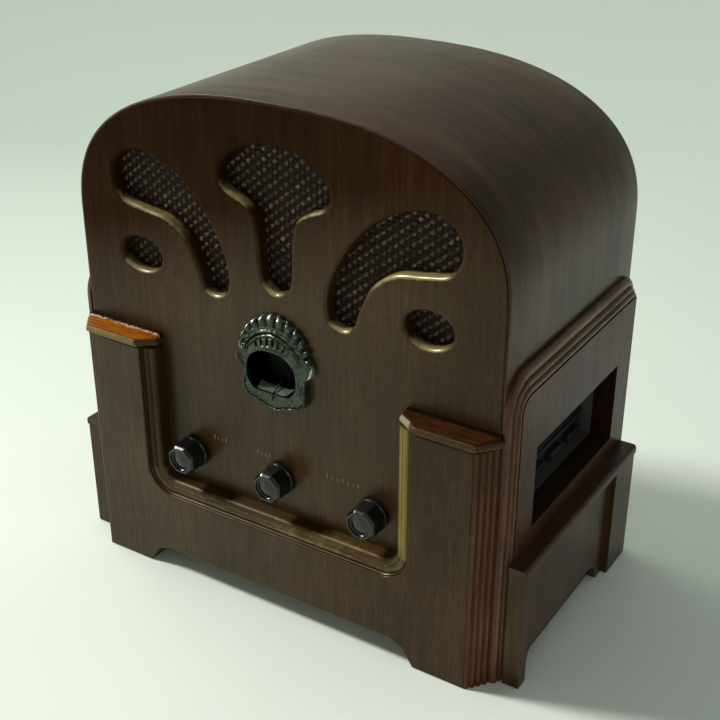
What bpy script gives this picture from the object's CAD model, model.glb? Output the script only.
"""Looks of the arched wooden table radio with a cassette deck in its right side."""
from math import copysign, cos, dist, exp, pi, radians, sin, sqrt

import bmesh
import bpy
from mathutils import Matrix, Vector, geometry, noise


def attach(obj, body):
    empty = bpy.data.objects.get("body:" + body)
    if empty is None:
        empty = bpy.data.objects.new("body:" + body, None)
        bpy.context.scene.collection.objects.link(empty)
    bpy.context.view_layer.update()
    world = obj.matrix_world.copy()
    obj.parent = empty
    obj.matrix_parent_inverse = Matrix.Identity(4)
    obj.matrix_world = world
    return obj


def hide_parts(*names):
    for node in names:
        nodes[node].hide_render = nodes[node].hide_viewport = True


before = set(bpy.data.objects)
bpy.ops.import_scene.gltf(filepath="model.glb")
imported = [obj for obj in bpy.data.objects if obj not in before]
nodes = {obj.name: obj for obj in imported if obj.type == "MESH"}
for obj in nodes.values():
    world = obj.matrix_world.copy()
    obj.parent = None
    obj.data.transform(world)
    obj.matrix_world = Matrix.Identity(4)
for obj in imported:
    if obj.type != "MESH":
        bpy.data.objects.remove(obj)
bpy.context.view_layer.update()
scene = bpy.context.scene
MM, SIDES = 0.001, ((1, "right"), (-1, "left"))

# Sizes in millimetres, as in the part's source
CASE_HALF, CASE_H, CASE_REAR, ARCH_START, ARCH_POWER = 133.8, 298.5, 87.0, 218.0, 2.45
KNOB_FACE, PANEL_FACE, PANEL_BACK, APRON_FACE = -87.0, -71.5, -63.5, -83.5
APRON_HALF, COLUMN_H, BAY_HALF, RAIL_H, BAY_R, TRIM_W = 125.0, 147.5, 88.7, 54.0, 17.0, 8.7
SHELL_T, LIP_T, LIP_BACK, FOOT_H = 6.0, 1.2, 0.8, 14.0
PLATE_T, PLATE_H, MOULD_W, MOULD_H = 6.8, 184.5, 7.8, 13.0
PLATE_FRONT, PLATE_REAR = PANEL_FACE + 0.2, 82.5
SIDE_BAY_X, SIDE_BAY_Y, SIDE_BAY_Z = 120.0, (-44.0, 62.5), (88.0, 136.0)
KNOBS = {"volume": (-61.0, 83.5), "tuning": (0.0, 85.5), "band": (61.0, 83.5)}

# Outlines on the front, in x and z. The symmetric ones are given by their right half
WING = [(29, 198), (32, 214), (43, 234), (58, 250), (76, 260), (93, 262), (107, 254), (110, 241),
        (103, 229), (88, 225), (72, 222), (60, 213), (53, 199), (49, 188), (41, 184.5), (32, 188)]
MIDDLE, MIDDLE_TOP, MIDDLE_FOOT = [
    (13, 277.5), (26, 272), (34.5, 264), (36.5, 255), (32, 247.5), (22, 243), (15.5, 238), (13, 228),
    (12.3, 212), (10, 200.5)], 279, 194.7
OVAL_X, OVAL_Z, OVAL_HALF_W, OVAL_HALF_H = 91, 200, 16.4, 12.3
DIAL_HALF, DIAL_FOOT, DIAL_TOP, DIAL_R = 15.9, 138.6, 164.9, 8
SHIELD, SHIELD_TOP, SHIELD_FOOT = [
    (9, 184), (17, 178.5), (21.6, 171), (22.8, 166), (24.9, 162.5), (24.9, 157), (20.3, 152.5),
    (20.6, 144), (20, 137.6), (14.5, 133.9), (7.5, 131.6)], 186.3, 129.0
MOUTH, MOUTH_TOP, MOUTH_FOOT = [
    (6.5, 166.0), (11, 163.8), (14.5, 160.2), (16, 155.5), (16, 150), (14.8, 146.2), (12.6, 143.2),
    (10.4, 141.9)], 166.6, 141.6


def smooth(p, n):
    """A closed smooth line through the points p, with n steps between two of them."""
    out, k = [], len(p)
    for i in range(k):
        a, b, c, d = p[i - 1], p[i], p[(i + 1) % k], p[(i + 2) % k]
        for j in range(n):
            t = j / n
            out.append(tuple(
                b[m] + ((c[m] - a[m]) + ((2 * a[m] - 5 * b[m] + 4 * c[m] - d[m])
                        + (3 * b[m] - a[m] - 3 * c[m] + d[m]) * t) * t) * t / 2 for m in (0, 1)))
    return out


def both_sides(top, half, foot):
    return [(0, top)] + half + [(0, foot)] + flip(half)


def flip(p):
    return [(-x, z) for x, z in reversed(p)]


def quarter(n, start=0):
    """The angles that cut a quarter turn into n steps, from step start on."""
    return [pi / 2 * i / n for i in range(start, n + 1)]


def arch(inset, foot, steps=96):
    pts = [(CASE_HALF - inset, foot)]
    for i in range(steps + 1):
        a = pi * i / steps
        c, s, e = cos(a), max(sin(a), 0), 2 / ARCH_POWER
        pts.append(((CASE_HALF - inset) * copysign(abs(c) ** e, c),
                    ARCH_START + (CASE_H - ARCH_START - inset) * s ** e))
    return pts + [(inset - CASE_HALF, foot)]


def area(p):
    return sum(a[0] * b[1] - b[0] * a[1] for a, b in zip(p, p[1:] + p[:1])) / 2


def inset_line(p, d, closed=True):
    """The line moved by d to its left, which is inwards on a line that runs anticlockwise."""
    out, n = [], len(p)
    for i in range(n):
        a = p[i - 1] if closed or i else p[i]
        c = p[(i + 1) % n] if closed or i < n - 1 else p[i]
        b = p[i]
        e1, e2 = Vector((b[0] - a[0], b[1] - a[1])), Vector((c[0] - b[0], c[1] - b[1]))
        if e1.length < 1e-9:
            e1 = e2
        if e2.length < 1e-9:
            e2 = e1
        e1.normalize()
        e2.normalize()
        m = e1 + e2
        m = m.normalized() if m.length > 1e-6 else e1
        k = max(m.dot(e1), 0.35)
        out.append((b[0] - m.y * d / k, b[1] + m.x * d / k))
    return out


def dial_hole(n=30):
    """The hole in the panel behind the dial frame, with a half-ellipse on top."""
    spring = DIAL_TOP - DIAL_R
    pts = [(-DIAL_HALF, DIAL_FOOT), (DIAL_HALF, DIAL_FOOT), (DIAL_HALF, spring)]
    pts += [(DIAL_HALF * cos(pi * i / n), spring + DIAL_R * sin(pi * i / n))
            for i in range(1, n)]
    return pts + [(-DIAL_HALF, spring)]


def oval(cx, n=64):
    return [(cx + OVAL_HALF_W * cos(2 * pi * i / n), OVAL_Z + OVAL_HALF_H * sin(2 * pi * i / n))
            for i in range(n)]


def ccw(p):
    return p if area(p) > 0 else list(reversed(p))


OPENINGS = [ccw(smooth(WING, 8)), ccw(smooth(flip(WING), 8)),
            ccw(smooth(both_sides(MIDDLE_TOP, MIDDLE, MIDDLE_FOOT), 8)), ccw(oval(OVAL_X)), ccw(oval(-OVAL_X))]


# Mesh building
def new_object(name, data):
    ob = bpy.data.objects.new(name, data)
    scene.collection.objects.link(ob)
    return ob


class Build:
    """Collects points in millimetres, faces and a wear value for each point."""

    def __init__(self):
        self.v, self.f, self.w = [], [], []

    def add(self, pts, wear=0.0):
        i = len(self.v)
        self.v += [tuple(p) for p in pts]
        self.w += list(wear) if isinstance(wear, (list, tuple)) else [wear] * len(pts)
        return list(range(i, i + len(pts)))

    def bridge(self, a, b, closed=True):
        n = len(a)
        for i in range(n if closed else n - 1):
            j = (i + 1) % n
            self.f.append((a[i], a[j], b[j], b[i]))

    def loft(self, loops, closed=True, wear=None):
        ids = [self.add(lp, wear[k] if wear else 0.0) for k, lp in enumerate(loops)]
        for a, b in zip(ids, ids[1:]):
            self.bridge(a, b, closed)
        return ids

    def fill(self, ids, holes=(), back=False):
        """Triangles over a flat outline in x and z that leave the holes open."""
        loops = [[Vector((self.v[i][0], self.v[i][2], 0)) for i in lp] for lp in [ids, *holes]]
        flat = [i for lp in [ids, *holes] for i in lp]
        for tri in geometry.tessellate_polygon(loops):
            a, b, c = (self.v[flat[i]] for i in tri)
            up = (b[0] - a[0]) * (c[2] - a[2]) - (b[2] - a[2]) * (c[0] - a[0])
            t = tri if (up > 0) != back else tuple(reversed(tri))
            self.f.append(tuple(flat[i] for i in t))

    def cap(self, ids, flip_face=False):
        self.f.append(tuple(reversed(ids)) if flip_face else tuple(ids))

    def box(self, lo, hi):
        i = self.add([(x, y, z) for x in (lo[0], hi[0]) for y in (lo[1], hi[1]) for z in (lo[2], hi[2])])
        for q in ((0, 1, 3, 2), (4, 6, 7, 5), (0, 4, 5, 1), (2, 3, 7, 6), (0, 2, 6, 4), (1, 5, 7, 3)):
            self.f.append(tuple(i[k] for k in q))

    def make(self, name, mat, slot, replaced=(), body="cabinet", angle=32, flat=False, outward=True):
        """The finished piece. Edges over angle degrees are sharp, and flat keeps its large faces even."""
        me = bpy.data.meshes.new(name)
        me.from_pydata([(x * MM, y * MM, z * MM) for x, y, z in self.v], [], self.f)
        me.attributes.new("wear", "FLOAT", "POINT").data.foreach_set("value", [float(w) for w in self.w])
        me.validate()
        if outward:
            bm = bmesh.new()
            bm.from_mesh(me)
            bmesh.ops.recalc_face_normals(bm, faces=bm.faces)
            bm.to_mesh(me)
            bm.free()
        me.polygons.foreach_set("use_smooth", [True] * len(me.polygons))
        me.set_sharp_from_angle(angle=radians(angle))
        ob = new_object(name, me)
        me.materials.append(mat)
        if flat:
            even_faces(ob).keep_sharp = True
        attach(ob, body)
        if replaced:
            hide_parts(*replaced)


def even_faces(ob):
    mod = ob.modifiers.new("flat", "WEIGHTED_NORMAL")
    mod.weight = 100
    return mod


def soften(ob, width):
    """Rounds the edges of a CAD piece."""
    ob.modifiers.new("weld", "WELD").merge_threshold = 0.01 * MM
    bev = ob.modifiers.new("edges", "BEVEL")
    bev.width = width * MM
    bev.segments = 3
    bev.limit_method = "ANGLE"
    bev.angle_limit = radians(35)
    even_faces(ob)


def at_y(p, y):
    return [(x, y, z) for x, z in p]


def polar(x0, z0, radii, ys):
    """A closed loop round (x0, z0) with a distance and a y for each of its even angles."""
    n = len(radii)
    return [(x0 + r * cos(2 * pi * k / n), y, z0 + r * sin(2 * pi * k / n))
            for k, (r, y) in enumerate(zip(radii, ys))]


# Materials. Lengths in them are in metres, as the coordinates that they read

EVEN = (1, 1, 1)


class Shader:
    """A principled material with short calls for its nodes."""

    def __init__(self, name, rough=0.4, metal=0.0, coat=0.0, coat_rough=0.1, alpha=1.0, ior=1.5, spec=0.5,
                 tint=EVEN):
        self.mat = bpy.data.materials.new(name)
        self.mat.use_nodes = True
        self.tree = self.mat.node_tree
        self.bsdf = self.tree.nodes["Principled BSDF"]
        for key, x in (("Roughness", rough), ("Metallic", metal), ("Coat Weight", coat),
                       ("Coat Roughness", coat_rough), ("Alpha", alpha), ("IOR", ior),
                       ("Specular IOR Level", spec), ("Specular Tint", tint)):
            self.feed(key, x)
        self.coord = self.node("ShaderNodeTexCoord").outputs["Object"]
        self.normal = None

    def put(self, x, socket):
        """Links an input to another node's output, or gives it a number, a vector or a colour."""
        if isinstance(x, bpy.types.NodeSocket):
            self.tree.links.new(x, socket)
        else:
            socket.default_value = (*x, 1) if socket.type == "RGBA" else x

    def feed(self, key, x):
        self.put(x, self.bsdf.inputs[key])

    def node(self, kind, inputs=None, **props):
        n = self.tree.nodes.new(kind)
        for key, x in props.items():
            setattr(n, key, x)
        for key, x in (inputs or {}).items():
            self.put(x, n.inputs[key])
        return n

    def xyz(self, vector):
        n = self.node("ShaderNodeSeparateXYZ", {"Vector": vector})
        return [n.outputs[axis] for axis in "XYZ"]

    def scaled(self, scale):
        return self.node("ShaderNodeMapping", {"Vector": self.coord, "Scale": scale}).outputs["Vector"]

    def noise(self, vector, scale, detail, rough, distort=0.0):
        inputs = {"Vector": vector, "Scale": scale, "Detail": detail, "Roughness": rough, "Distortion": distort}
        return self.node("ShaderNodeTexNoise", inputs).outputs["Fac"]

    def even(self, scale, detail, rough):
        """Noise that is not stretched."""
        return self.noise(self.scaled(EVEN), scale, detail, rough)

    def ramp(self, fac, stops):
        n = self.node("ShaderNodeValToRGB", {"Fac": fac})
        stops, el = list(stops), n.color_ramp.elements
        while len(el) < len(stops):
            el.new(0.5)
        for e, (pos, col) in zip(el, stops):
            e.position = pos
            e.color = (*srgb(*col), 1)
        return n.outputs["Color"]

    def value(self, fac, lo, hi):
        """0 at lo and 1 at hi, and even beyond them. lo may be the larger one."""
        n = self.node("ShaderNodeMapRange", {"Value": fac, "From Min": lo, "From Max": hi})
        return n.outputs["Result"]

    def math(self, op, a, b):
        return self.node("ShaderNodeMath", {0: a, 1: b}, operation=op).outputs["Value"]

    def plus(self, a, b):
        return self.math("ADD", a, b)

    def minus(self, a, b):
        return self.math("SUBTRACT", a, b)

    def times(self, a, b):
        return self.math("MULTIPLY", a, b)

    def most(self, a, b):
        return self.math("MAXIMUM", a, b)

    def shares(self, a, b, share):
        """share of a and the rest of b."""
        return self.plus(self.times(a, share), self.times(b, 1 - share))

    def dim(self, x, mask, share=1.0):
        """x, lower by share where the mask is 1."""
        return self.times(x, self.minus(1.0, self.times(mask, share)))

    def wobble(self, x, fac, amount):
        """x moved by up to half the amount either way."""
        return self.plus(x, self.times(self.minus(fac, 0.5), amount))

    def mix(self, fac, a, b):
        return self.node("ShaderNodeMix", {0: fac, 6: a, 7: b}, data_type="RGBA").outputs[2]

    def stain(self, base, mask, share, colour):
        return self.mix(self.times(mask, share), base, srgb(*colour))

    def attribute(self, name):
        return self.node("ShaderNodeAttribute", attribute_name=name).outputs["Fac"]

    def colour(self, x):
        self.feed("Base Color", x)

    def gloss(self, x):
        self.feed("Specular IOR Level", x)

    def rough(self, x, lo, hi):
        n = self.node("ShaderNodeMapRange", {"Value": x, "To Min": lo, "To Max": hi})
        self.feed("Roughness", n.outputs["Result"])

    def bump(self, height, strength, distance_mm):
        """Relief, on top of any relief that is there already."""
        n = self.node("ShaderNodeBump", {"Height": height, "Strength": strength, "Distance": distance_mm * MM})
        if self.normal:
            self.put(self.normal, n.inputs["Normal"])
        self.normal = n.outputs["Normal"]
        self.feed("Normal", self.normal)


def srgb(r, g, b):
    return tuple(c / 255 / 12.92 if c <= 10 else ((c / 255 + 0.055) / 1.055) ** 2.4 for c in (r, g, b))


# Dark, middle and light tone
FRONT = ((30, 17, 7), (54, 33, 16), (81, 53, 29))
LIP = srgb(148, 136, 90)
SHEEN = (0.97, 0.91, 0.59)
DULL_SLOPE, DULL_FROM, DULL_TO = 0.3, 0.192, 0.25


def wood_tones(s, tone, colours):
    return s.ramp(s.value(tone, 0.32, 0.8), zip((0.0, 0.5, 1.0), colours))


def bay_mask(s, x, y, z):
    """1 on the walls of the side bay, with a margin of 0.2 mm."""
    within = s.value(x, SIDE_BAY_X * MM, (SIDE_BAY_X + 1) * MM)
    for axis, span in ((y, SIDE_BAY_Y), (z, SIDE_BAY_Z)):
        for bound, way in zip(span, (-1, 1)):
            within = s.times(within, s.value(axis, (bound + 0.2 * way) * MM, (bound + 0.1 * way) * MM))
    return within


def dusk_masks(s, x, z, sides):
    """How much of the varnish's gloss is left, and how far the wood is darkened."""
    slant = s.minus(z, s.times(x, DULL_SLOPE))
    side = 0.0
    for start, end, share in sides:
        side = s.most(side, s.times(s.value(x, start, end), share))
    left = s.dim(s.plus(0.06, s.times(s.value(slant, DULL_TO, DULL_FROM), 0.94)), side)
    return left, s.most(s.times(s.value(slant, 0.21, 0.29), 0.6), side)


def wood(name, colours, along, rough=(0.3, 0.46), coat=0.1, pores=1.0, figure=1.0, worn=None, wear=1.0,
         spec=0.3, tint=SHEEN, sides=(), flank=1.0, front=False, bay=False):
    """Open-grained veneer. along names the axes that the grain follows.

    With sides, the varnish turns dull towards the top, and darkens by the third number of each
    side where x passes from its first to its second. flank is the share of the gloss that is left
    on the right half. With front, the faces that look forward have the colour of the front panel.
    With bay, the walls of the side bay are dark. Wear below 0 is shade, and wear over 1.4 is worn
    colour without polish.
    """
    s = Shader(name, coat=coat, coat_rough=0.14, spec=spec, tint=tint)
    x, y, z = s.xyz(s.coord)
    pore_at, streak_at, band_at = (s.scaled([k if axis in along else 1.0 for axis in "xyz"])
                                   for k in (0.06, 0.05, 0.16))
    streak = s.noise(streak_at, 620, 3, 0.6, 0.3)
    bands = s.noise(band_at, 46, 4, 0.6, 1.6)
    tone = s.plus(s.times(streak, 0.4), s.plus(s.times(bands, 0.3 * figure), s.times(s.even(11, 3, 0.5), 0.4)))
    pore = s.times(s.value(s.noise(pore_at, 2700, 1, 0.5), 0.46, 0.32),
                   s.plus(s.times(s.value(bands, 0.3, 0.65), 0.7), 0.3))
    pore_colour = tuple(c * 0.35 for c in srgb(*colours[0]))
    base = s.mix(s.times(pore, 0.5 * pores), wood_tones(s, tone, colours), pore_colour)
    gloss = s.times(s.times(s.minus(1.12, s.times(pore, 0.5)), s.plus(0.45, s.times(tone, 0.95))), spec)
    matt = s.value(s.noise(band_at, 120, 3, 0.6), 0, 1)
    if front:
        forward = s.value(s.xyz(s.node("ShaderNodeNewGeometry").outputs["Normal"])[1], -0.5, -0.8)
        base = s.mix(forward, base, wood_tones(s, tone, FRONT))
        s.feed("Specular Tint", s.mix(forward, tint, SHEEN))
    if bay:
        within = bay_mask(s, x, y, z)
        base = s.stain(base, within, 0.55, (8, 6, 4))
        gloss = s.dim(gloss, within, 0.7)
    if worn:
        edge = s.attribute("wear")
        ragged = s.wobble(s.minus(s.even(260, 3, 0.7), 0.5), s.even(30, 2, 0.5), 1.4)
        amount = s.times(s.value(s.plus(edge, ragged), 0.4, 1.0), s.value(edge, 0.02, 0.2))
        base = s.mix(s.times(amount, wear), base, worn)
        shade = s.value(edge, 0.0, -1.0)
        base = s.stain(base, shade, 0.6, (46, 27, 12))
        matt = s.minus(matt, s.times(amount, 0.9))
        polish = s.times(s.times(amount, s.value(edge, 1.8, 1.4)), 0.75 * wear)
    if sides:
        left, dark = dusk_masks(s, x, z, sides)
        base = s.stain(base, dark, 1.0, (20, 8, 3))
        gloss = s.times(gloss, left)
        s.feed("Coat Weight", s.times(left, coat))
    if flank < 1:
        half = s.value(x, -0.01, 0.06)
        side = s.times(half, s.value(x, 0.13, 0.112))
        base = s.stain(base, side, 0.3, (14, 8, 6))
        gloss = s.dim(gloss, half, 1 - flank)
        s.feed("Coat Weight", s.dim(coat, side, 0.7))
    if worn:
        gloss = s.plus(s.dim(gloss, shade, 0.84), polish)
    s.colour(base)
    s.rough(matt, *rough)
    s.gloss(gloss)
    s.bump(s.minus(streak, s.times(pore, 0.8 * pores)), 0.3, 0.1)
    s.bump(s.even(40, 2, 0.5), 0.08, 0.6)
    return s.mat


m_front = wood("veneer_front", FRONT, "z", worn=LIP, wear=0.9, sides=((0.04, 0.11, 0.27), (-0.01, -0.1, 0.26)))
m_apron = wood("veneer_apron", FRONT, "z", worn=LIP, wear=0.9, sides=((0.0, 0.09, 0.26),))
m_shell = wood("veneer_shell", ((26, 11, 7), (52, 27, 17), (88, 54, 36)), "xz", rough=(0.26, 0.4),
               figure=1.5, spec=0.44, tint=(1.0, 0.94, 0.82), flank=0.42, bay=True)
m_side = wood("veneer_side", ((34, 15, 10), (66, 36, 25), (96, 58, 42)), "z", spec=0.14,
              tint=(1.0, 0.86, 0.82), bay=True)
m_skirt = wood("veneer_skirt", ((36, 17, 13), (62, 34, 27), (86, 51, 42)), "z", spec=0.24,
               tint=(1.0, 0.82, 0.82), front=True)
m_ledge = wood("moulding_ledge", ((32, 14, 9), (54, 28, 19), (76, 44, 31)), "y", spec=0.26,
               tint=(1.0, 0.84, 0.78), front=True)
m_trim = wood("moulding_trim", ((32, 19, 8), (60, 41, 18), (90, 66, 32)), "xz", worn=srgb(122, 104, 42),
              pores=0.6, wear=0.8, tint=(1.0, 0.92, 0.64))
m_reed = wood("moulding_reed", ((34, 16, 7), (67, 37, 16), (94, 54, 25)), "z", worn=srgb(102, 56, 26),
              pores=0.6, wear=0.4, spec=0.2, tint=(1.0, 0.76, 0.5))
m_plate_mould = wood("moulding_plate", ((38, 19, 10), (70, 40, 22), (100, 62, 36)), "yz",
                     worn=srgb(118, 76, 44), pores=0.6, wear=0.4, spec=0.22, tint=(1.0, 0.82, 0.68))

# Heights on the column caps: where the pale end starts, and where the nose ends and the slope starts
CAP_END_Z, CAP_SPLIT = 0.1492, 0.1522


def cap_wood(name, slope, nose, chips, end, end_top, turn):
    """Stained moulding: slope above the split, nose below, a dark strip behind, pale chips there.

    The end at x < end is worn pale up to the height end_top. The nose is dark at x > turn.
    """
    s = Shader(name, spec=0.24, tint=(1.0, 0.78, 0.42))
    grain = s.noise(s.scaled((0.07, 1, 1)), 1100, 3, 0.6)
    ragged = s.noise(s.scaled((0.8, 1, 1)), 420, 3, 0.7)
    x, y, z = s.xyz(s.coord)
    high = s.value(s.wobble(z, ragged, 0.0006), CAP_SPLIT, CAP_SPLIT + 0.0003)
    shady = s.times(s.value(x, turn - 0.0002, turn + 0.0004), s.minus(1.0, high))
    groove = s.times(s.value(z, CAP_SPLIT - 0.0003, CAP_SPLIT),
                     s.value(z, CAP_SPLIT + 0.0005, CAP_SPLIT + 0.0002))
    behind = s.wobble(y, ragged, 0.006)
    low_colour, high_colour = (s.ramp(grain, zip((0.34, 0.66), pair)) for pair in (nose, slope))
    base = s.mix(high, low_colour, high_colour)
    base = s.stain(base, groove, 0.8, (34, 18, 8))
    base = s.stain(base, shady, 0.85, (26, 17, 9))
    base = s.stain(base, s.value(behind, -0.0744, -0.0736), high, (14, 7, 4))
    pale = s.times(s.value(behind, -0.0757, -0.0752), s.value(behind, -0.0740, -0.0745))
    pale = s.times(s.times(pale, high), s.times(s.value(s.even(130, 2, 0.6), 0.36, 0.5), chips))
    tip = s.times(s.value(s.plus(x, s.times(ragged, 0.0016)), end + 0.0026, end + 0.0014),
                  s.times(s.value(z, CAP_END_Z - 0.0006, CAP_END_Z), s.value(z, end_top + 0.0004, end_top)))
    pale = s.most(pale, s.times(tip, 0.55))
    s.colour(s.mix(pale, base, srgb(172, 162, 138)))
    s.rough(ragged, 0.34, 0.6)
    s.gloss(s.minus(0.24, s.times(high, 0.19)))
    s.bump(s.plus(grain, s.times(pale, 2.0)), 0.35, 0.12)
    return s.mat


m_cap = cap_wood("moulding_cap", ((106, 52, 1), (154, 86, 4)), ((88, 68, 38), (132, 106, 66)), chips=1.0,
                 end=-0.1352, end_top=0.16, turn=-(BAY_HALF + 1.8) * MM)
m_cap_dark = cap_wood("moulding_cap_dark", ((34, 16, 5), (66, 35, 12)), ((48, 31, 15), (80, 55, 29)), chips=0.0,
                      end=0.0868, end_top=0.1528, turn=1.0)
m_ply = wood("plywood", ((110, 82, 54), (146, 112, 76), (172, 138, 98)), "x", rough=(0.6, 0.75), coat=0.0,
             pores=0.4)
m_pine = wood("pine", ((150, 116, 76), (186, 150, 104), (208, 176, 130)), "z", rough=(0.6, 0.75), coat=0.0,
              pores=0.2)
m_hard = wood("hardboard", ((70, 46, 30), (92, 62, 40), (112, 78, 52)), "xz", rough=(0.55, 0.7), coat=0.0,
              pores=0.15, figure=0.3)


def plain(name, low, high, rough=(0.35, 0.5), metal=0.0, scale=400, bump=0.1, alpha=1.0, ior=1.5):
    """A surface with fine speckle, slight clouding and a little relief."""
    s = Shader(name, metal=metal, alpha=alpha, ior=ior)
    grain, cloud = s.even(scale, 3, 0.6), s.even(24, 2, 0.5)
    s.colour(s.ramp(s.shares(grain, cloud, 0.6), [(0.3, low), (0.7, high)]))
    s.rough(cloud, *rough)
    s.bump(grain, bump, 0.05)
    return s.mat


m_black = plain("black_gloss", (8, 9, 9), (18, 19, 19), rough=(0.18, 0.3), scale=900, bump=0.06)
m_matte = plain("black_matte", (16, 16, 17), (30, 30, 31), rough=(0.38, 0.5), scale=1200, bump=0.25)
m_key = plain("key_plastic", (24, 26, 26), (40, 42, 41), rough=(0.3, 0.4), scale=1500, bump=0.15)
m_grey = plain("grey_plastic", (62, 60, 60), (84, 82, 82), rough=(0.4, 0.5), scale=1200, bump=0.2)
m_white = plain("white_plastic", (205, 200, 188), (226, 222, 212), rough=(0.35, 0.45))
m_steel = plain("steel", (150, 150, 146), (186, 186, 180), rough=(0.28, 0.4), metal=1.0, scale=700)
m_screw = plain("screw_steel", (120, 118, 110), (160, 158, 150), rough=(0.3, 0.45), metal=1.0, scale=900)
m_alu = plain("aluminium", (170, 172, 172), (196, 198, 198), rough=(0.35, 0.45), metal=1.0, scale=500)
m_brass = plain("brass", (150, 120, 62), (186, 152, 84), rough=(0.25, 0.4), metal=1.0, scale=600)
m_iron = plain("iron", (52, 52, 52), (74, 74, 72), rough=(0.5, 0.65), metal=0.6, scale=500, bump=0.3)
m_rubber = plain("rubber", (18, 18, 18), (32, 32, 32), rough=(0.6, 0.75), scale=1500, bump=0.3)
m_paper = plain("cone_paper", (24, 22, 20), (40, 37, 34), rough=(0.8, 0.9), scale=900, bump=0.5)
m_board = plain("circuit_laminate", (78, 92, 40), (104, 120, 58), rough=(0.3, 0.4), scale=700)
m_dial = plain("dial_card", (9, 7, 6), (15, 12, 10), rough=(0.5, 0.6), scale=500)
m_clear = plain("clear_sheet", (30, 34, 32), (44, 48, 46), rough=(0.03, 0.08), bump=0.02, alpha=0.06, ior=1.3)
m_gold = plain("gold_leaf", (92, 80, 42), (140, 120, 66), rough=(0.45, 0.6), metal=0.2, scale=2500, bump=0.3)
m_sill = plain("sill_metal", (50, 62, 52), (122, 134, 118), rough=(0.3, 0.45), metal=0.2, scale=300, bump=0.25)


def pewter():
    """Grey-green cast metal, bright where it is rubbed and black in the throat."""
    s = Shader("pewter", metal=0.9)
    grain, cloud = s.even(520, 4, 0.65), s.even(90, 3, 0.6)
    base = s.ramp(s.shares(grain, cloud, 0.5),
                  [(0.25, (30, 34, 28)), (0.55, (78, 86, 75)), (0.85, (124, 130, 116))])
    mark = s.attribute("wear")
    base = s.mix(s.value(mark, 0.3, 1.0), base, srgb(206, 208, 198))
    s.colour(s.mix(s.value(mark, -0.1, -0.7), base, srgb(9, 9, 8)))
    s.rough(cloud, 0.2, 0.38)
    s.bump(grain, 0.3, 0.1)
    return s.mat


def weave():
    """Chunky yarn: pale silvery tufts over a dark brown ground."""
    s = Shader("grille_weave", spec=0.14, tint=(1.0, 0.84, 0.7))
    fibre, lump = s.noise(s.scaled((1, 1, 0.3)), 2300, 3, 0.65), s.even(330, 2, 0.5)
    pale = s.ramp(s.shares(fibre, lump, 0.6),
                  [(0.36, (42, 27, 24)), (0.52, (82, 62, 54)), (0.67, (164, 144, 126))])
    deep = s.ramp(fibre, [(0.34, (9, 4, 3)), (0.6, (23, 12, 9)), (0.72, (62, 42, 34))])
    s.colour(s.mix(s.value(s.attribute("wear"), 0.3, 0.8), deep, pale))
    s.rough(fibre, 0.35, 0.65)
    s.bump(fibre, 0.9, 0.35)
    return s.mat


def deck_face():
    """Black moulding with a dull metal foil on its upper rim."""
    s = Shader("deck_face")
    grain, cloud = s.even(1200, 3, 0.6), s.even(60, 2, 0.5)
    x, y, z = s.xyz(s.coord)
    foil = s.times(s.value(x, 0.12125, 0.1213), s.value(z, 0.1215, 0.1216))
    s.colour(s.mix(foil, s.ramp(grain, [(0.3, (24, 27, 27)), (0.7, (44, 47, 46))]),
                   s.ramp(cloud, [(0.3, (112, 110, 104)), (0.7, (176, 172, 160))])))
    s.rough(cloud, 0.3, 0.45)
    s.bump(grain, 0.2, 0.04)
    return s.mat


m_deck = deck_face()
m_pewter = pewter()
m_weave = weave()

# Front panel: rounded openings and a thin rounded outer edge
OPENING_R, EDGE_R, LIP_STEPS = 2.6, 1.0, 8


def rounded(p, radius, y, steps):
    """Loops that round an edge from the face at y inwards."""
    return [at_y(inset_line(p, radius * sin(t)), y + radius * (1 - cos(t))) for t in quarter(steps)]


def eased(p, radius, y, steps):
    """Loops that round the outer edge of the outline p, from the face at y backwards."""
    return [at_y(inset_line(p, radius * (1 - cos(a))), y + radius * (1 - sin(a)))
            for a in reversed(quarter(steps))]


def lean(p, i):
    """How far the edge of the outline p faces upwards at point i, seen from inside the opening."""
    a, b = p[i - 1], p[(i + 1) % len(p)]
    return (b[0] - a[0]) / max(dist(a, b), 1e-9)


panel = Build()
outer = ccw(arch(LIP_T, FOOT_H))
edge_ids = panel.loft(eased(outer, EDGE_R, PANEL_FACE, 3) + [at_y(outer, PANEL_BACK)])
holes_front, holes_back = [], []
for p in OPENINGS:
    loops = rounded(p, OPENING_R, PANEL_FACE, LIP_STEPS)
    loops += [at_y(inset_line(p, OPENING_R), y) for y in (-66, -64.5, PANEL_BACK)]
    rubbed = [0.05 + 1.05 * max(0.0, lean(p, i)) ** 2 for i in range(len(p))]
    shares = [min(1.0, k / 3) for k in range(LIP_STEPS + 1)] + [0.9, 0.3, 0.0]
    ids = panel.loft(loops, wear=[[w * share for w in rubbed] for share in shares])
    holes_front.append(ids[0])
    holes_back.append(ids[-1])
dial = ccw(dial_hole())
ids = panel.loft([at_y(dial, PANEL_FACE), at_y(dial, PANEL_BACK)])
holes_front.append(ids[0])
holes_back.append(ids[-1])
panel.fill(edge_ids[0], holes_front)
panel.fill(edge_ids[-1], holes_back, back=True)
panel.make("panel_dressed", m_front, "veneer", ("front_panel",), angle=40, flat=True)


# Bent shell, with the mouth of the side bay left open
def shell_line(inset):
    right = [(CASE_HALF - inset, z) for z in (14, 50, SIDE_BAY_Z[0], 112, SIDE_BAY_Z[1], 175)]
    return right + arch(inset, FOOT_H)[1:-1] + flip(right)


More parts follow.
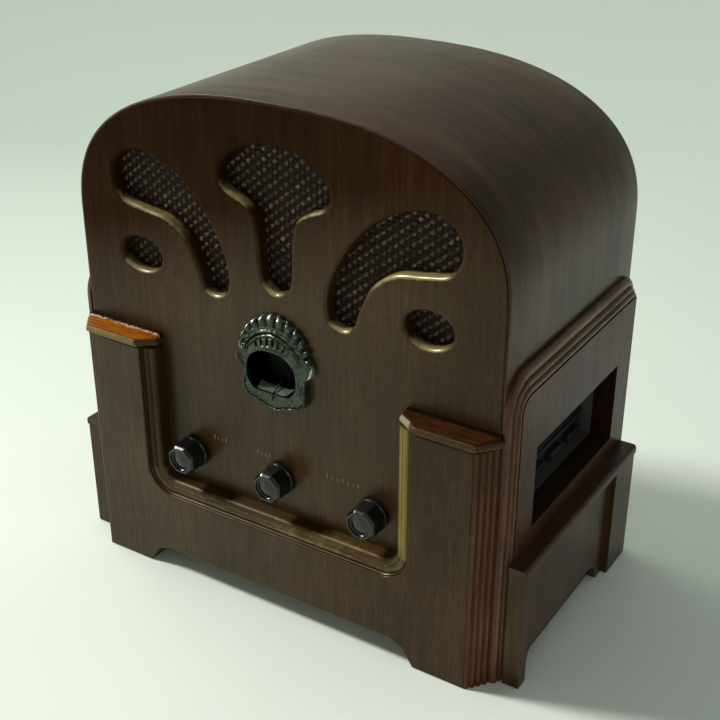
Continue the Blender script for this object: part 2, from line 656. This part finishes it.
# F and R are y at the front and rear edge, T is the thickness. At BAY_STEPS the line passes the bay
BAY_STEPS = (2, 3)
F, R, T = PANEL_FACE + LIP_BACK, CASE_REAR, SHELL_T
OUTSIDE = [(LIP_T, PANEL_BACK), (LIP_T, F + 0.3), (LIP_T - 0.2, F + 0.06), (LIP_T - 0.45, F), (0.5, F),
           (0.2, F + 0.08), (0.05, F + 0.3), (0, F + 0.7), (0, SIDE_BAY_Y[0]), (0, SIDE_BAY_Y[1])]
REAR_EDGE = [(0, R - 0.8), (0.1, R - 0.35), (0.35, R - 0.1), (0.8, R), (T - 0.4, R), (T, R - 0.4)]
INSIDE = [(T, SIDE_BAY_Y[1]), (T, SIDE_BAY_Y[0]), (T, PANEL_BACK)]
outer_k = len(OUTSIDE) - 2
inner_k = len(OUTSIDE) + len(REAR_EDGE)
shell = Build()
ids = [shell.add(at_y(shell_line(i), y)) for i, y in OUTSIDE + REAR_EDGE + INSIDE]
for k in range(len(ids)):
    a, b = ids[k], ids[(k + 1) % len(ids)]
    for i in range(len(a) - 1):
        if not (k in (outer_k, inner_k) and i in BAY_STEPS):
            shell.f.append((a[i], a[i + 1], b[i + 1], b[i]))
for end in (0, -1):
    shell.cap([r[end] for r in ids])
o0, o1, i1, i0 = (ids[k] for k in (outer_k, outer_k + 1, inner_k, inner_k + 1))
for i in BAY_STEPS:
    shell.f.append((o0[i], o0[i + 1], i0[i + 1], i0[i]))
    shell.f.append((o1[i], o1[i + 1], i1[i + 1], i1[i]))
for i in (BAY_STEPS[0], BAY_STEPS[-1] + 1):
    shell.f.append((o0[i], o1[i], i1[i], i0[i]))
shell.make("shell_bent", m_shell, "veneer", ("case_shell",), angle=30)


# Front apron with softened edges
def bay_line(n=14):
    """The edge of the apron's bay, from the top of the right column to that of the left one."""
    h, z = BAY_HALF, RAIL_H
    pts = [(h, COLUMN_H - 0.05)]
    pts += [(h, z + BAY_R + (COLUMN_H - z - BAY_R) * (1 - t)) for t in (0.25, 0.5, 0.75, 1.0)]
    pts += [(h - BAY_R + BAY_R * cos(a), z + BAY_R - BAY_R * sin(a)) for a in quarter(n, 1)]
    return pts + [(x, z) for x in (45, 15, -15, -45)] + flip(pts)


gap = [(93, 0), (86.25, FOOT_H * 0.75), (78, FOOT_H)]
around = [(-x, z) for x, z in gap] + [(x, z) for x, z in reversed(gap)]
around += [(APRON_HALF, z) for z in (0, 40, 80, 115, COLUMN_H)] + [(BAY_HALF + 12, COLUMN_H)] + bay_line()
around += [(-BAY_HALF - 12, COLUMN_H)] + [(-APRON_HALF, z) for z in (COLUMN_H, 115, 80, 40, 0)]
around = ccw(around)
apron = Build()
ids = apron.loft(eased(around, EDGE_R, APRON_FACE, 4) + [at_y(around, PANEL_FACE)],
                 wear=[0.0, 0.12, 0.12, 0.12, 0.0, 0.0])
apron.fill(ids[0])
apron.fill(ids[-1], back=True)
apron.make("apron_shaped", m_apron, "veneer", ("front_apron",), angle=40, flat=True)


# Grille cloth: tufted weave behind the openings
WEAVE_X, WEAVE_Z, WEAVE_STEP, WEAVE_GROW = 3.38, 2.75, 0.46, 1.2


def inside(p, x, z, grow):
    hit, best = False, 1e9
    for (x0, z0), (x1, z1) in zip(p, p[1:] + p[:1]):
        if (z0 > z) != (z1 > z) and x < (x1 - x0) * (z - z0) / (z1 - z0) + x0:
            hit = not hit
        best = min(best, (x - x0) ** 2 + (z - z0) ** 2)
    return hit or best < grow * grow


def yarn_height(x, z):
    """Height of the weave and how pale its yarn is there."""
    i, j = round(x / WEAVE_X), round(z / WEAVE_Z)
    u, v = (x - i * WEAVE_X) / WEAVE_X * 2, (z - j * WEAVE_Z) / WEAVE_Z * 2
    over = 1 if (i + j) % 2 == 0 else -1
    warp = 0.30 * sqrt(max(0, 1 - (u * 1.1) ** 2)) + 0.3 * over * cos(v * pi / 2)
    weft = 0.26 * sqrt(max(0, 1 - (v * 1.05) ** 2)) - 0.16 * over * cos(u * pi / 2)
    lump = noise.noise(Vector((x * 0.9, z * 0.9, 3.1)))
    if warp > weft:
        p, q = u * 0.88 - v * 0.47, u * 0.47 + v * 0.88
        w = 1.2 - 1.25 * (p * p * 1.2 + q * q * 0.28) + 0.9 * lump
        light = 0.55 + 0.45 * ((i * 7 + j * 13 + (i * j) % 5 * 3) % 11) / 10
        return warp + lump * 0.08, light * max(0.0, min(1.0, w)) if over > 0 else 0.0
    return weft + lump * 0.06, 0.12 if lump > 0.25 else 0.0


cloth = Build()
cloth_ids, cloth_faces = {}, set()


def cloth_point(a, b):
    if (a, b) not in cloth_ids:
        x, z = a * WEAVE_STEP, b * WEAVE_STEP
        h, w = yarn_height(x, z)
        cloth_ids[a, b] = cloth.add([(x, PANEL_BACK + 0.72 - 1.25 * (h + 0.1) / 0.72, z)], w)[0]
    return cloth_ids[a, b]


def cells(values):
    """The steps of the weave that cover the values, with 2 mm to spare."""
    return range(int((min(values) - 2) / WEAVE_STEP), int((max(values) + 2) / WEAVE_STEP) + 1)


for p in OPENINGS:
    coarse = p[::3]
    for a in cells([x for x, z in p]):
        for b in cells([z for x, z in p]):
            if inside(coarse, (a + 0.5) * WEAVE_STEP, (b + 0.5) * WEAVE_STEP, WEAVE_GROW):
                q = tuple(cloth_point(a + i, b + j) for i, j in ((0, 0), (1, 0), (1, 1), (0, 1)))
                if q not in cloth_faces:
                    cloth_faces.add(q)
                    cloth.f.append(q)
backing = [(-118, 178), (118, 178), (118, 240), (80, 284), (-80, 284), (-118, 240)]
cloth.cap(cloth.add(at_y(backing, PANEL_BACK + 0.75)))
cloth.make("cloth_woven", m_weave, "cloth", ("grille_cloth",), angle=60, outward=False)


# Stepped moulding round the bay of the apron: inset from the bay's edge, depth under the apron's face, wear
TRIM = [(0.0, 1.9, 0.2), (0.25, 1.3, 0.3), (0.6, 1.2, 0.3), (0.9, 1.6, 0.1), (1.1, 2.4, 0.0), (1.25, 2.8, 0.0),
        (1.45, 2.3, 0.4), (1.8, 2.0, 0.8), (2.8, 1.9, 0.9), (4.2, 2.1, 0.9), (5.0, 2.4, 0.7), (5.3, 2.9, 0.1),
        (5.6, 2.7, 0.6), (6.3, 2.9, 0.9), (7.1, 3.3, 0.9), (7.8, 3.9, 0.9), (8.3, 4.5, 0.9), (8.6, 5.2, 0.8),
        (8.7, 6.0, 0.6), (8.7, 9.0, 0.5), (8.7, 12.0, 0.2)]


def trim_wear(w, inset, x, z):
    """Shade on the left column, a gilt line on the right one and patches on the rail."""
    if z <= RAIL_H + BAY_R - 2:
        return w * (0.42 + 0.6 * noise.noise(Vector((x * 0.045, 0, inset))))
    if x < 0:
        return -0.35 if 5.5 < inset < 7.5 else -1.0
    return 2.0 if 1.3 < inset < 8.2 else w * 0.3


trim = Build()
line = list(reversed(bay_line()))
loops = [at_y(inset_line(line, inset, closed=False), APRON_FACE + depth) for inset, depth, w in TRIM]
wears = [[trim_wear(w, inset, x, z) for x, y, z in lp] for lp, (inset, depth, w) in zip(loops, TRIM)]
ids = trim.loft(loops, closed=False, wear=wears)
for end in (0, -1):
    x, y, z = loops[0][end]
    trim.cap([lp[end] for lp in ids] + trim.add([(x, PANEL_FACE, z)]))
trim.make("trim_moulded", m_trim, "moulding", ("apron_trim",), angle=40)


# Reeded strips on the front corners
REEDS, REED_H, REED_SUNK = 4, 1.15, 0.35


def reed_plan(side):
    a, b = Vector((APRON_HALF, APRON_FACE)), Vector((CASE_HALF, PANEL_FACE - 0.9))
    d = b - a
    n = Vector((d.y, -d.x)).normalized()
    pts, wear = [], []
    for k in range(REEDS):
        for i in range(9):
            bulge = REED_H * sin(pi * i / 8) ** 0.8
            q = a + d * (k + 0.06 + 0.88 * i / 8) / REEDS + n * (bulge - REED_SUNK)
            pts.append((max(q.x, APRON_HALF) * side, q.y))
            wear.append(0.6 * sin(pi * i / 8) ** 2)
    pts += [(CASE_HALF * side, PANEL_FACE), (APRON_HALF * side, PANEL_FACE)]
    return pts, wear + [0, 0]


for side, tag in SIDES:
    plan, wear = reed_plan(side)
    reed = Build()
    heights = [0.0, 0.6] + [COLUMN_H * i / 12 for i in range(1, 12)] + [COLUMN_H - 0.02]
    ids = reed.loft([[(x, y, z) for x, y in plan] for z in heights], wear=[wear] * len(heights))
    reed.cap(ids[0], True)
    reed.cap(ids[-1])
    reed.make("corner_reeds_" + tag, m_reed, "moulding", ("corner_reeds",) if side > 0 else (), angle=50)

# Column caps: nosed front, hollow under it and a sloping worn top
CAP_LIP, CAP_INNER, CAP_STEP = 1.5, 0.7, 1.6
CAP = [(1.7, 0.0, 0.0), (1.5, 0.5, 0.0), (1.45, 0.9, 0.0), (0.7, 1.2, 0.1), (0.2, 1.8, 0.35), (0.0, 2.7, 0.45),
       (0.05, 3.6, 0.45), (0.35, 4.3, 0.5), (0.8, 4.7, 0.35)]
CAP_TOP = [(1.25, 4.9, 7.2, 0.1), (1.9, 5.15, 7.6, 0.0)]


def cap_plan(inset):
    front, outer_x = APRON_FACE - CAP_LIP + inset, CASE_HALF + CAP_LIP - inset
    inner_x = BAY_HALF - TRIM_W - CAP_INNER + inset
    return [(BAY_HALF + 1.8 + 0.3 * inset, front), (APRON_HALF + CAP_LIP - inset, front),
            (outer_x, PANEL_FACE - 2.5 + inset * 0.4), (outer_x, PANEL_FACE),
            (inner_x, PANEL_FACE), (inner_x, APRON_FACE + 5.9 + inset * 0.54)]


def dense(inset):
    """The cap's plan with every side cut into as many steps as on the widest plan."""
    p, wide, out = cap_plan(inset), cap_plan(0), []
    for i in range(len(p)):
        a, b = p[i], p[(i + 1) % len(p)]
        n = max(1, int(dist(wide[i], wide[(i + 1) % len(p)]) / CAP_STEP))
        out += [(a[0] + (b[0] - a[0]) * k / n, a[1] + (b[1] - a[1]) * k / n) for k in range(n)]
    return out


def slope_z(x, y, low, high):
    """Height of a point of the sloping top, which is ragged at the back."""
    t = max(0, (y - APRON_FACE) / (PANEL_FACE - APRON_FACE))
    ragged = 0.25 * noise.noise(Vector((x * 0.5, y * 0.5, 0))) if y > PANEL_FACE - 1 else 0
    return COLUMN_H + low + (high - low) * t + ragged


for (side, tag), mat in zip(SIDES, (m_cap_dark, m_cap)):
    cap = Build()
    loops = [[(x * side, y, COLUMN_H + h) for x, y in dense(inset)] for inset, h, w in CAP]
    loops += [[(x * side, min(y, PANEL_FACE), slope_z(x, y, low, high)) for x, y in dense(inset)]
              for inset, low, high, w in CAP_TOP]
    wears = [[w if y < PANEL_FACE - 0.5 else 0.0 for x, y in dense(inset)] for inset, h, w in CAP]
    ids = cap.loft(loops, wear=wears + [w for inset, low, high, w in CAP_TOP])
    cap.cap(ids[0], True)
    cap.cap(ids[-1])
    cap.make("cap_" + tag, mat, "moulding", (tag + "_column_cap",), angle=38, flat=True)


# Moulding of one wide and two narrow reeds on the front and top edge of the side plates, drawn in y and z
def plate_line(inset):
    y0, z1, r = PLATE_FRONT + MOULD_W * inset, PLATE_H - MOULD_H * inset, 20 - 11 * inset
    pts = [(y0, z) for z in (0, 40, 80, 120, z1 - r)]
    pts += [(y0 + r - r * cos(a), z1 - r + r * sin(a)) for a in quarter(16, 1)]
    end, drop = PLATE_REAR - 7, 6.5 * (1 - inset)
    pts += [(y0 + r + (end - y0 - r) * t, z1) for t in (0.25, 0.5, 0.75, 1.0)]
    return pts + [(end + 7 * sin(a), z1 - drop * (1 - cos(a))) for a in quarter(6, 1)]


# Inset as a share of the moulding's width, height as a share of the plate's thickness, wear
PLATE = [(0.0, 0.0, 0.0), (0.0, 0.26, 0.3), (0.05, 0.42, 0.7), (0.16, 0.54, 0.8), (0.3, 0.58, 0.6),
         (0.4, 0.54, 0.3), (0.44, 0.5, 0.0), (0.47, 0.62, 0.3), (0.54, 0.74, 0.8), (0.63, 0.78, 0.7),
         (0.69, 0.73, 0.2), (0.72, 0.7, 0.0), (0.75, 0.82, 0.3), (0.82, 0.92, 0.9), (0.9, 0.95, 0.8),
         (0.97, 0.9, 0.3), (1.0, 0.6, 0.0), (1.0, 0.0, 0.0)]
for side, tag in SIDES:
    b = Build()
    loops = [[((CASE_HALF + PLATE_T * out) * side, y, z) for y, z in plate_line(inset)]
             for inset, out, w in PLATE]
    ids = b.loft(loops, closed=False, wear=[w for inset, out, w in PLATE])
    for end in (0, -1):
        b.cap([lp[end] for lp in ids])
    b.make("plate_moulding_" + tag, m_plate_mould, "moulding", (tag + "_plate_moulding",), angle=55)


# Knobs: eight flats with rounded corners, raised rim, sunk round face and a round skirt
def octagon(r, corner, a):
    """Radius of a rounded octagon at angle a, with flats at r."""
    t = (a + pi / 8) % (pi / 4) - pi / 8
    return min(r / cos(t), r / cos(pi / 8) - corner)


# Radius and height over the knob's face, and for the loops with flats how much the corners are cut
KNOB_SINK = [(0.4, -0.5), (1.8, -0.58), (3.4, -0.9), (4.7, -1.34), (5.4, -1.54), (5.9, -1.6), (6.3, -1.5),
             (6.5, -1.2), (6.65, -0.4), (6.8, -0.08)]
KNOB_FLATS = [(7.05, 0.0, 0.12), (7.45, -0.04, 0.1), (7.75, -0.25, 0.1), (8.5, -1.3, 0.1), (8.75, -1.8, 0.1),
              (8.9, -2.6, 0.1), (9.05, -7.0, 0.1), (9.1, -11.4, 0.12)]
KNOB_SKIRT = [(9.35, -11.8), (9.6, -12.0), (9.75, -12.3), (9.8, -12.7), (9.8, -14.0)]
KNOB_SIDES = 96
for name, (x0, z0) in KNOBS.items():
    b = Build()
    flats = [([octagon(r, corner, 2 * pi * i / KNOB_SIDES) for i in range(KNOB_SIDES)], d)
             for r, d, corner in KNOB_FLATS]
    sink, skirt = ([([r] * KNOB_SIDES, d) for r, d in part] for part in (KNOB_SINK, KNOB_SKIRT))
    ids = b.loft([polar(x0, z0, radii, [KNOB_FACE - d] * KNOB_SIDES) for radii, d in sink + flats + skirt])
    b.cap(ids[0])
    b.cap(ids[-1])
    b.make(name + "_knob_turned", m_black, "black_gloss", (name + "_knob",), body=name, angle=19)


# Cast dial frame: a ring between the window and the shield outline, with its relief as a height
def ray_hits(p, cx, cz, count):
    """How far the outline p is from (cx, cz) along each of count even angles."""
    out = []
    for k in range(count):
        a = 2 * pi * k / count
        dx, dz, best = cos(a), sin(a), 0
        for (x0, z0), (x1, z1) in zip(p, p[1:] + p[:1]):
            ex, ez = x1 - x0, z1 - z0
            den = dx * ez - dz * ex
            if abs(den) < 1e-12:
                continue
            t = ((x0 - cx) * ez - (z0 - cz) * ex) / den
            u = ((x0 - cx) * dz - (z0 - cz) * dx) / den
            if t > 0 and -1e-6 <= u <= 1 + 1e-6:
                best = max(best, t)
        out.append(best)
    return out


def bell(x, c, w):
    return exp(-((x - c) / w) ** 2)


def near(v, lo, hi, soft):
    """1 between lo and hi, falling to 0 over soft on either side."""
    return max(0.0, min(1.0, (v - lo) / soft + 1, (hi - v) / soft + 1))


BEAD_ANGLE, PEARL_ANGLE, ROW_START, DENTIL_ANGLE, RAY_ANGLE = 11.6, 6.2, 19, 12.6, 14
EARS = ((8, 1.3), (172, 0.5))


def row(a, width):
    """A row of round humps, each width degrees wide."""
    return abs(sin(radians((a - ROW_START) * 180 / width)))


def relief(a, s):
    """Height in millimetres and brightness at angle a (degrees from +x) and share s of the way out."""
    # Body, raised rim of the mouth and higher foot
    rim = 2.2 + 1.6 * near(abs((a - 90) % 360 - 180), 0, 90, 14)
    h = rim + (6.6 - rim) * (1 - s) ** 1.15 + 0.35 * bell(s, 0.02, 0.04)
    wear = 0.3 * bell(s, 0.02, 0.03)
    # Crown of beads and a row of pearls under it
    beads, pearls = row(a, BEAD_ANGLE), row(a, PEARL_ANGLE)
    crown, string = near(a, 24, 156, 6) * near(s, 0.72, 2, 0.05), near(a, 28, 152, 4)
    h += crown * (2.0 * beads ** 0.75 * max(0.0, 1 - ((s - 0.88) / 0.2) ** 2) - 1.0 * (1 - beads))
    wear += crown * beads ** 3 * bell(s, 0.93, 0.06) * (0.25 + 0.65 * near(a, 92, 180, 30))
    h += string * pearls ** 0.8 * bell(s, 0.665, 0.04)
    wear += string * 0.45 * pearls ** 3 * bell(s, 0.665, 0.03)
    # Bands and dentils over the mouth
    top = near(a, 30, 150, 10)
    for height, at, width in ((1.1, 0.56, 0.045), (-0.7, 0.48, 0.025), (0.5, 0.42, 0.03), (-0.6, 0.345, 0.02)):
        h += top * height * bell(s, at, width)
    wear += top * 0.5 * bell(s, 0.56, 0.035) * (0.4 + 0.6 * abs(sin(radians(a * 360 / 26))))
    if near(a, 52, 128, 2) > 0 and sin(radians((a - 52) * 360 / DENTIL_ANGLE)) < -0.1:
        h -= 1.3 * near(s, 0.14, 0.29, 0.03)
    # Ears at the sides
    for at, bright in EARS:
        d = (a - at + 180) % 360 - 180
        h += 2.1 * bell(d, 0, 8) * bell(s, 0.86, 0.13) + 0.9 * bell(d, 9, 4) * bell(s, 0.6, 0.12)
        wear += bright * bell(d, 0, 9) * bell(s, 0.9, 0.12)
    # Rays on the foot
    if 195 < a < 345:
        low = min(1.0, (a - 195) / 12, (345 - a) / 12)
        ray = cos(radians((a - 270) * 360 / RAY_ANGLE))
        h += low * (0.5 * ray * bell(s, 0.5, 0.3) + 0.8 * bell(s, 0.88, 0.06) - 0.5 * bell(s, 0.78, 0.04))
        wear += low * 0.2 * max(0.0, ray) * bell(s, 0.5, 0.2)
    # Casting skin and rounded outer edge
    c = 2.2 * 9 * s
    grit = noise.noise(Vector((c * cos(radians(a)), c * sin(radians(a)), 5.0)))
    h += 0.35 * near(s, 0.2, 2, 0.05) * grit
    h *= 1.0 if s < 0.9 else max(0.03, cos((s - 0.9) / 0.1 * pi / 2 * 0.98)) ** 0.45
    return min(max(h, 0.1), 7.4), min(1.0, wear)


COUNT, RADIAL, DIAL_CZ = 540, 52, 154.0
outline = ccw(smooth(both_sides(SHIELD_TOP, SHIELD, SHIELD_FOOT), 10))
mouth = ccw(smooth(both_sides(MOUTH_TOP, MOUTH, MOUTH_FOOT), 8))
throat = [(x * 0.9, 152 + (z - 152) * 0.86) for x, z in MOUTH]
throat = ccw(smooth(both_sides(MOUTH_TOP - 3, throat, MOUTH_FOOT + 1), 8))
r_in, r_out, r_back = (ray_hits(p, 0, DIAL_CZ, COUNT) for p in (mouth, outline, throat))
loops, wears = [], []
for t, y, w in ((1.0, PANEL_BACK + 0.2, -1.0), (0.8, PANEL_BACK + 2, -1.0), (0.5, PANEL_FACE, -1.0),
                (0.2, PANEL_FACE - 4, -1.0), (0.06, PANEL_FACE - 5.9, 0.0)):
    loops.append(polar(0, DIAL_CZ, [i + (b - i) * t for i, b in zip(r_in, r_back)], [y] * COUNT))
    wears.append(w)
for m in range(RADIAL + 1):
    s = m / RADIAL
    radii, carved = [], [relief(360 * k / COUNT, s) for k in range(COUNT)]
    for k in range(COUNT):
        a = 360 * k / COUNT
        lump = 0.7 * (row(a, BEAD_ANGLE) ** 0.6 - 0.8) * near(a, 26, 154, 4) * max(0, s - 0.6) / 0.4
        radii.append(r_in[k] + (r_out[k] - r_in[k] + lump) * s)
    loops.append(polar(0, DIAL_CZ, radii, [PANEL_FACE - h for h, w in carved]))
    wears.append([w for h, w in carved])
loops.append([(x, PANEL_FACE, z) for x, y, z in loops[-1]])
cast = Build()
cast.loft(loops, wear=wears + [0.0])
cast.make("escutcheon_cast", m_pewter, "pewter", ("escutcheon",), angle=42, outward=False)

# Bright sloping sill in the foot of the dial's mouth: y, z and half width of its rows
SILL = ((-77.3, 142.0, 9.9), (-75.4, 142.4, 10.3), (-73.4, 143.0, 10.6), (-71.8, 143.6, 10.8))
sill = Build()
sill.loft([[(half * k / 8, y, z + 0.05 * cos(k * 2.3 + i) + 0.5 * max(0, abs(k) - 6)) for k in range(-8, 9)]
           for i, (y, z, half) in enumerate(SILL)], closed=False)
sill.make("sill_plate", m_sill, "pewter", angle=60)

# Fixed wire index that hangs over the sill of the dial
WIRE = [Vector(p) for p in ((1.8, -70.6, 146.6), (1.4, -73, 145.0), (0.95, -75.8, 143.6), (0.65, -78.2, 141.9),
                            (0.5, -78.6, 139.8), (0.4, -78.0, 137.6))]
WIRE_R, WIRE_SIDES = 0.5, 8
wire = Build()
rings = []
turns = [2 * pi * j / WIRE_SIDES for j in range(WIRE_SIDES)]
for p, before, after in zip(WIRE, WIRE[:1] + WIRE, WIRE[1:] + WIRE[-1:]):
    way = (after - before).normalized()
    n1 = way.cross(Vector((1, 0, 0))).normalized()
    n2 = way.cross(n1)
    rings.append([p + WIRE_R * (n1 * cos(a) + n2 * sin(a)) for a in turns])
ids = wire.loft(rings)
wire.cap(ids[0])
wire.cap(ids[-1])
wire.make("index_wire", m_matte, "black_matte", angle=60)

# Plain gold ticks over the knobs: first and last x, and how many
ticks = Build()
for x0, x1, n in ((-46.5, -38.5, 4), (-16, -8, 4), (31, 51, 7)):
    for i in range(n):
        x = x0 + (x1 - x0) * i / (n - 1)
        ticks.box((x - 0.3, PANEL_FACE - 0.08, 95.6), (x + 0.3, PANEL_FACE + 0.02, 97.2 if i % 3 else 98.2))
ticks.make("gold_ticks", m_gold, "moulding")

# Materials and edge radii of the pieces that keep their CAD shape
LOOK = {
    m_ply: "bottom_board baffle_board", m_hard: "rear_cover", m_pine: "glue_blocks",
    m_side: "left_side_plate right_side_plate", m_skirt: "left_side_skirt right_side_skirt",
    m_ledge: "left_ledge right_ledge", m_screw: "rear_cover_screws speaker_screws",
    m_rubber: "cord_gland pinch_roller drive_belt", m_paper: "speaker_cone",
    m_steel: "speaker_frame volume_control volume_shaft band_shaft tape_chassis tape_head tape_motor",
    m_iron: "speaker_magnet mains_transformer", m_clear: "dial_window", m_dial: "dial_plate",
    m_matte: "dial_pointer", m_alu: "tuning_capacitor", m_board: "circuit_board",
    m_brass: "tuning_bearing band_switch tuning_shaft capstan motor_pulley",
    m_white: "board_spacers supply_spindle takeup_spindle", m_grey: "bay_liner", m_deck: "tape_fascia",
    m_key: "tape_door rewind_key play_key forward_key stop_key",
}
SOFT_EDGES = {
    0.7: "left_side_plate right_side_plate", 0.8: "left_side_skirt right_side_skirt",
    0.6: "rewind_key play_key forward_key stop_key", 0.3: "tape_fascia tape_door bay_liner",
}
for mat, names in LOOK.items():
    for name in names.split():
        mesh = nodes[name].data
        mesh.materials.clear()
        mesh.materials.append(mat)
        mesh.polygons.foreach_set("material_index", [0] * len(mesh.polygons))
for width, names in SOFT_EDGES.items():
    for name in names.split():
        soften(nodes[name], width)


# Floor, backdrop, lamps and camera, in metres
def stage_material():
    """Pale cloth-white floor that turns a little darker on the upright backdrop."""
    s = Shader("stage_pale", rough=0.9)
    x, y, z = s.xyz(s.coord)
    near_floor = s.ramp(s.even(3, 2, 0.5), [(0.3, (220, 228, 219)), (0.7, (227, 234, 226))])
    near_floor = s.mix(s.value(x, 0.2, 0.75), near_floor, srgb(192, 202, 199))
    backdrop = s.mix(s.value(x, -0.5, 0.7), srgb(160, 171, 163), srgb(206, 217, 207))
    s.colour(s.mix(s.value(y, 0.0, 0.8), near_floor, backdrop))
    return s.mat


STAGE_X, STAGE_FRONT, STAGE_BACK, STAGE_TURN = 3.5, -3.5, 1.175, 32
STAGE_CORNER, STAGE_SWEEP, STAGE_FLAT, STAGE_HEIGHTS = 0.9, 0.5, 0.7, (0.8, 1.1, 1.4, 1.7)


def stage_ring(inset, z, steps=8):
    """One rounded rectangle of the sweep, inset from the foot of its walls."""
    r, c, pts = STAGE_CORNER - inset, STAGE_CORNER, []
    for cx, cy, start in ((STAGE_X - c, STAGE_BACK - c, 0), (c - STAGE_X, STAGE_BACK - c, 1),
                          (c - STAGE_X, STAGE_FRONT + c, 2), (STAGE_X - c, STAGE_FRONT + c, 3)):
        pts += [(cx + r * cos(a + start * pi / 2), cy + r * sin(a + start * pi / 2), z)
                for a in quarter(steps)]
    return pts


rings = [stage_ring(STAGE_FLAT, 0)]
rings += [stage_ring(STAGE_SWEEP * (1 - sin(a)), STAGE_SWEEP * (1 - cos(a))) for a in quarter(12)]
rings += [stage_ring(0, z) for z in STAGE_HEIGHTS]
n = len(rings[0])
faces = [tuple(range(n))]
faces += [(k * n + i, k * n + n + i, k * n + n + (i + 1) % n, k * n + (i + 1) % n)
          for k in range(len(rings) - 1) for i in range(n)]
floor = bpy.data.meshes.new("floor")
floor.from_pydata([p for ring in rings for p in ring], [], faces)
floor.polygons.foreach_set("use_smooth", [True] * len(floor.polygons))
floor.materials.append(stage_material())
floor_ob = new_object("floor", floor)
floor_ob.rotation_euler = (0, 0, radians(STAGE_TURN))


def lamp(name, at, aim, size, watts, colour):
    data = bpy.data.lights.new(name, "AREA")
    data.shape = "DISK"
    data.size = size
    data.energy = watts
    data.color = colour
    ob = new_object(name, data)
    ob.location = at
    ob.rotation_euler = (Vector(aim) - Vector(at)).to_track_quat("-Z", "Y").to_euler()


lamp("key", (-2.6, -0.84, 2.7), (0, 0, 0.12), 0.64, 138, (1.0, 0.985, 0.94))
lamp("overhead", (0.1, 0.4, 2.0), (0, 0, 0.1), 1.6, 3.5, (0.96, 1.0, 0.98))
lamp("left_window", (-1.25, 0.35, 1.35), (0, 0, 0.25), 1.0, 9, (1.0, 1.0, 0.92))
lamp("right_fill", (2.0, -0.5, 1.3), (0, 0, 0.12), 1.4, 3, (1.0, 0.99, 0.97))
lamp("front_fill", (0.7, -2.0, 0.9), (0, 0, 0.15), 1.4, 3, (0.96, 1.0, 0.98))
world = bpy.data.worlds.new("world")
scene.world = world
world.use_nodes = True
sky = world.node_tree.nodes["Background"].inputs
sky["Color"].default_value = (0.80, 0.84, 0.80, 1)
sky["Strength"].default_value = 0.18

CAMERA_AT, CAMERA_AIM = Vector((0.3565, -0.5518, 0.4657)), Vector((0.02158, -0.0235, 0.1442))
cam_data = bpy.data.cameras.new("camera")
cam_data.lens = 62.85
cam_data.sensor_width = 36
cam = new_object("camera", cam_data)
cam.location = CAMERA_AT
cam.rotation_mode = "QUATERNION"
cam.rotation_quaternion = (CAMERA_AIM - CAMERA_AT).to_track_quat("-Z", "Y")
scene.camera = cam
scene.view_settings.view_transform = "Standard"
